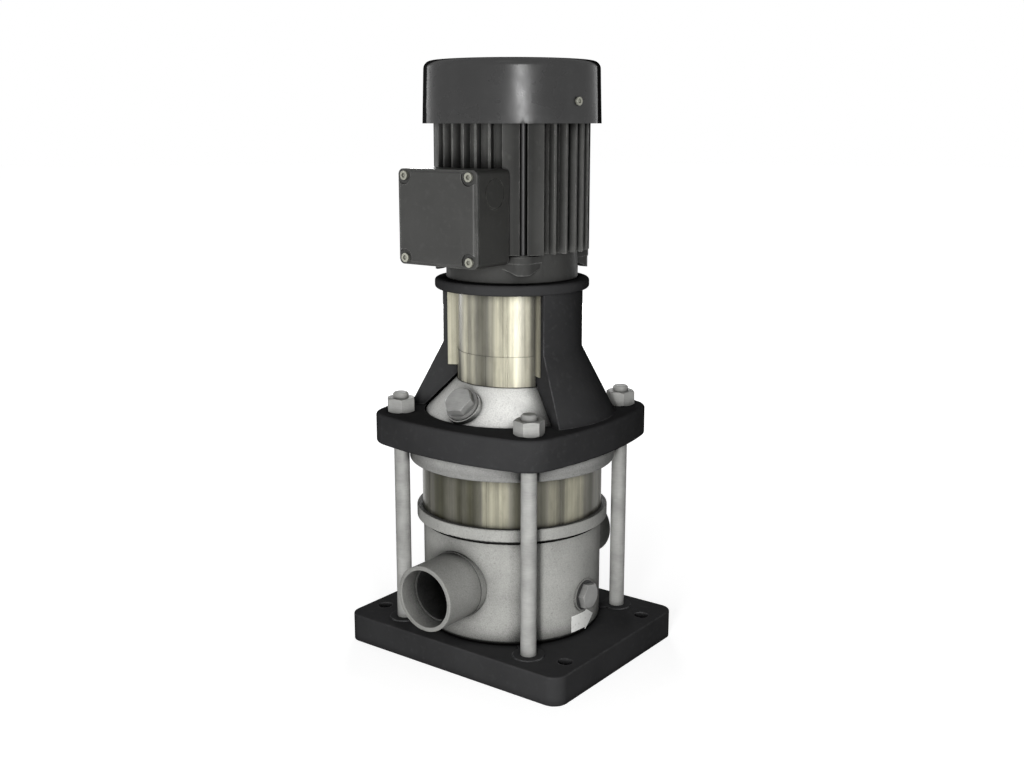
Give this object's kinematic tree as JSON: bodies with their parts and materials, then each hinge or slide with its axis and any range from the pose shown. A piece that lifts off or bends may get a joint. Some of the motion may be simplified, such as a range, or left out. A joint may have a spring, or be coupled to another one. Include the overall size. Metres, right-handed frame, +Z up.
{
  "type": "vertical multistage pump",
  "caption": "Vertical inline multistage pump on a base plate, with suction and discharge stubs, staybolts, a motor stool with coupling guards and a finned motor with terminal box.",
  "frame": {"origin": "on the pump's axis at the underside of the base plate", "axes": "+Z up along the shaft; the suction stub, vent plug and terminal box face -Y, the discharge stub faces +Y, the drain plug faces +X"},
  "size_m": [0.248, 0.26, 0.5455],
  "materials": {
    "black_casting": "black paint over a smooth casting, satin",
    "stainless_casting": "blasted stainless casting, fine grain, satin",
    "polished_sheet": "bright drawn stainless sheet",
    "plated_steel": "plated steel, satin",
    "plug_steel": "machined stainless steel",
    "seal_rubber": "matt black rubber",
    "stage_steel": "pressed and welded stainless sheet",
    "bearing_plastic": "dark bearing plastic",
    "hard_carbide": "ground hard carbide, dark grey",
    "shaft_steel": "ground steel",
    "coupling_iron": "sintered iron, dark grey",
    "small_screws": "pale plated screws",
    "motor_paint": "dark grey paint on cast and extruded aluminium, satin",
    "cover_paint": "near black paint on pressed steel, satin gloss",
    "box_paint": "dark grey paint on cast aluminium, satin",
    "tie_bolt_steel": "dark oiled steel",
    "lamination_steel": "stacked steel sheet",
    "winding_copper": "varnished copper wire",
    "fan_plastic": "black moulded plastic",
    "block_plastic": "moulded insulating plastic"
  },
  "bodies": {
    "pump_and_motor_housing": {"base_plate": "black_casting", "staybolts": "plated_steel", "staybolt_nuts": "plated_steel", "base_casing": "stainless_casting", "outer_sleeve": "polished_sheet", "sleeve_seals": "seal_rubber", "inlet_part": "stage_steel", "neck_rings": "bearing_plastic", "chamber_1": "stage_steel", "chamber_2": "stage_steel", "chamber_bushes": "hard_carbide", "stage_clamp": "stage_steel", "pump_head": "stainless_casting", "motor_stool": "black_casting", "guard_front": "polished_sheet", "guard_rear": "polished_sheet", "seal_cover": "stainless_casting", "seal_cover_screws": "small_screws", "seal_seat": "hard_carbide", "drive_end_shield": "motor_paint", "motor_frame": "motor_paint", "stator_core": "lamination_steel", "stator_windings": "winding_copper", "bearing_outer_races": "shaft_steel", "wave_washer": "shaft_steel", "non_drive_end_shield": "motor_paint", "motor_tie_bolts": "tie_bolt_steel", "motor_flange_bolts": "small_screws", "fan_cover": "cover_paint", "fan_cover_screws": "small_screws", "terminal_box": "box_paint", "terminal_gasket": "seal_rubber", "terminal_lid": "box_paint", "terminal_lid_screws": "small_screws", "terminal_block": "block_plastic"},
    "rotor": {"pump_shaft": "shaft_steel", "impeller_1": "stage_steel", "impeller_2": "stage_steel", "impeller_spacers": "stage_steel", "shaft_nut": "shaft_steel", "shaft_washer": "shaft_steel", "coupling_halves": "coupling_iron", "coupling_screws": "small_screws", "coupling_pin": "shaft_steel", "seal_face_ring": "hard_carbide", "seal_bellows": "seal_rubber", "seal_driver": "shaft_steel", "motor_shaft": "shaft_steel", "rotor_core": "lamination_steel", "bearing_inner_races": "shaft_steel", "bearing_balls": "shaft_steel", "cooling_fan": "fan_plastic", "fan_clip": "shaft_steel"},
    "vent_washer": {"vent_plug_seal": "seal_rubber"},
    "vent_screw": {"vent_plug": "plug_steel"},
    "drain_washer": {"drain_plug_seal": "seal_rubber"},
    "drain_screw": {"drain_plug": "plug_steel"}
  },
  "joints": [
    {"name": "rotor_spin", "type": "hinge", "parent": "pump_and_motor_housing", "child": "rotor", "pos_m": [0, 0, 0.3], "axis": [0, 0, 1], "continuous": true},
    {"name": "vent_plug_rise", "type": "slide", "parent": "pump_and_motor_housing", "child": "vent_washer", "axis": [0, -0.7071, 0.7071], "range_m": [0, 0.0127]},
    {"name": "vent_plug_turn", "type": "hinge", "parent": "vent_washer", "child": "vent_screw", "pos_m": [0, -0.07243, 0.24423], "axis": [0, -0.7071, 0.7071], "range_deg": [0, 2520]},
    {"name": "drain_plug_rise", "type": "slide", "parent": "pump_and_motor_housing", "child": "drain_washer", "axis": [1, 0, 0], "range_m": [0, 0.0127]},
    {"name": "drain_plug_turn", "type": "hinge", "parent": "drain_washer", "child": "drain_screw", "pos_m": [0.0848, 0, 0.063], "axis": [1, 0, 0], "range_deg": [0, 2520]}
  ],
  "couplings": [
    {"joint": "vent_plug_turn", "follows": "vent_plug_rise", "rad_per_m": 3463.7},
    {"joint": "drain_plug_turn", "follows": "drain_plug_rise", "rad_per_m": 3463.7}
  ]
}
